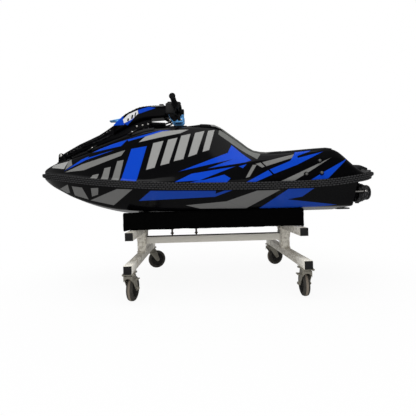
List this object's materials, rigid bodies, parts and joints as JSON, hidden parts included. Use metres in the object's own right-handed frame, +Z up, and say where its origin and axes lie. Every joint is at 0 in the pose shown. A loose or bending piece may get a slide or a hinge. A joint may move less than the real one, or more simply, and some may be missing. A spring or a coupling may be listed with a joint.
{
  "type": "stand-up personal watercraft on a wheeled cart",
  "caption": "Stand-up personal watercraft with a hinged steering pole, foam-lined tray and jet nozzle, resting on a square-tube cart with swivel casters.",
  "frame": {"origin": "floor level under the middle of the craft, on its centreline", "axes": "+X to the bow, +Y to port, +Z up"},
  "size_m": [2, 0.8164, 1.0643],
  "materials": {
    "hull_black": "gloss gel coat with a printed wrap",
    "deck_black": "gloss gel coat with a printed wrap",
    "rail_rubber": "matt rubber with a woven pattern",
    "hood_black": "gloss black",
    "pad_foam": "matt closed-cell foam",
    "mat_foam": "matt grooved foam",
    "foothold_plastic": "satin black",
    "bolt_steel": "stainless",
    "black_metal": "satin black",
    "pole_black": "semi-gloss black",
    "cover_blue": "gloss blue and black wrap",
    "anodised_blue": "light blue anodised",
    "black_plastic": "moulded black",
    "grip_rubber": "ribbed rubber",
    "pump_alloy": "cast, dark",
    "bright_steel": "polished stainless",
    "fitting_brass": "brown anodised fitting",
    "engine_alloy": "plain block",
    "cart_paint": "off-white paint, worn",
    "bunk_carpet": "black carpet",
    "zinc_steel": "zinc plated",
    "tyre_grey": "grey rubber tread",
    "hub_plastic": "light grey core"
  },
  "bodies": {
    "craft_and_cart": {"hull": "hull_black", "deck": "deck_black", "rub_rail": "rail_rubber", "hood": "hood_black", "chin_pad": "pad_foam", "bulkhead_pad": "pad_foam", "tray_mat": "mat_foam", "tail_mat": "mat_foam", "gunwale_mats": "mat_foam", "foot_holds": "foothold_plastic", "foothold_bolts": "bolt_steel", "pole_bracket": "black_metal", "pole_stop": "black_plastic", "pump_housing": "pump_alloy", "jet_cone": "pump_alloy", "intake_grate": "pump_alloy", "ride_plate": "pump_alloy", "hose_fitting": "fitting_brass", "engine": "engine_alloy", "cart_lower_tubes": "cart_paint", "cart_posts": "cart_paint", "cart_upper_tubes": "cart_paint", "cart_beam": "cart_paint", "tube_caps": "black_plastic", "bunk_left": "bunk_carpet", "bunk_right": "bunk_carpet", "bunk_bolts": "bolt_steel", "caster_plates": "zinc_steel"},
    "pole_arm": {"pole": "pole_black", "pole_cover": "cover_blue", "pole_hook": "anodised_blue", "steering_tower": "anodised_blue"},
    "bars": {"bar_clamp": "black_metal", "handlebar": "black_metal", "grips": "grip_rubber", "throttle_lever": "black_plastic", "switch_box": "black_plastic"},
    "nozzle": {"steering_nozzle": "pump_alloy"},
    "rod": {"steering_rod": "bright_steel"},
    "impeller_shaft": {"impeller": "bright_steel"},
    "swivel_front_left": {"fork_front_left": "zinc_steel"},
    "wheel_front_left": {"tyre_front_left": "tyre_grey", "hub_front_left": "hub_plastic"},
    "swivel_front_right": {"fork_front_right": "zinc_steel"},
    "wheel_front_right": {"tyre_front_right": "tyre_grey", "hub_front_right": "hub_plastic"},
    "swivel_rear_left": {"fork_rear_left": "zinc_steel"},
    "wheel_rear_left": {"tyre_rear_left": "tyre_grey", "hub_rear_left": "hub_plastic"},
    "swivel_rear_right": {"fork_rear_right": "zinc_steel"},
    "wheel_rear_right": {"tyre_rear_right": "tyre_grey", "hub_rear_right": "hub_plastic"}
  },
  "joints": [
    {"name": "pole_lift", "type": "hinge", "parent": "craft_and_cart", "child": "pole_arm", "pos_m": [0.864, 0, 0.77433], "axis": [0, 1, 0], "range_deg": [0, 65]},
    {"name": "bar_steer", "type": "hinge", "parent": "pole_arm", "child": "bars", "pos_m": [0.175, 0, 1.00032], "axis": [-0.2079, 0, 0.9781], "range_deg": [-36, 36]},
    {"name": "nozzle_steer", "type": "hinge", "parent": "craft_and_cart", "child": "nozzle", "pos_m": [-0.9, 0, 0.50533], "axis": [0, 0, 1], "range_deg": [-22, 22]},
    {"name": "rod_slide", "type": "slide", "parent": "craft_and_cart", "child": "rod", "axis": [1, 0, 0], "range_m": [-0.0365, 0.0365]},
    {"name": "impeller_spin", "type": "hinge", "parent": "craft_and_cart", "child": "impeller_shaft", "pos_m": [-0.632, 0, 0.50533], "axis": [1, 0, 0], "continuous": true},
    {"name": "swivel_front_left_turn", "type": "hinge", "parent": "craft_and_cart", "child": "swivel_front_left", "pos_m": [0.411, 0.358, 0.14], "axis": [0, 0, 1], "continuous": true},
    {"name": "wheel_front_left_roll", "type": "hinge", "parent": "swivel_front_left", "child": "wheel_front_left", "pos_m": [0.40571, 0.32037, 0.0625], "axis": [0.9903, -0.1392, 0], "continuous": true},
    {"name": "swivel_front_right_turn", "type": "hinge", "parent": "craft_and_cart", "child": "swivel_front_right", "pos_m": [0.411, -0.358, 0.14], "axis": [0, 0, 1], "continuous": true},
    {"name": "wheel_front_right_roll", "type": "hinge", "parent": "swivel_front_right", "child": "wheel_front_right", "pos_m": [0.37656, -0.37406, 0.0625], "axis": [0.4226, -0.9063, 0], "continuous": true},
    {"name": "swivel_rear_left_turn", "type": "hinge", "parent": "craft_and_cart", "child": "swivel_rear_left", "pos_m": [-0.452, 0.358, 0.14], "axis": [0, 0, 1], "continuous": true},
    {"name": "wheel_rear_left_roll", "type": "hinge", "parent": "swivel_rear_left", "child": "wheel_rear_left", "pos_m": [-0.45465, 0.32009, 0.0625], "axis": [0.9976, -0.0698, 0], "continuous": true},
    {"name": "swivel_rear_right_turn", "type": "hinge", "parent": "craft_and_cart", "child": "swivel_rear_right", "pos_m": [-0.452, -0.358, 0.14], "axis": [0, 0, 1], "continuous": true},
    {"name": "wheel_rear_right_roll", "type": "hinge", "parent": "swivel_rear_right", "child": "wheel_rear_right", "pos_m": [-0.48644, -0.37406, 0.0625], "axis": [0.4226, -0.9063, 0], "continuous": true}
  ],
  "couplings": [
    {"joint": "nozzle_steer", "follows": "bar_steer", "ratio": -0.6},
    {"joint": "rod_slide", "follows": "bar_steer", "m_per_rad": 0.0576}
  ]
}
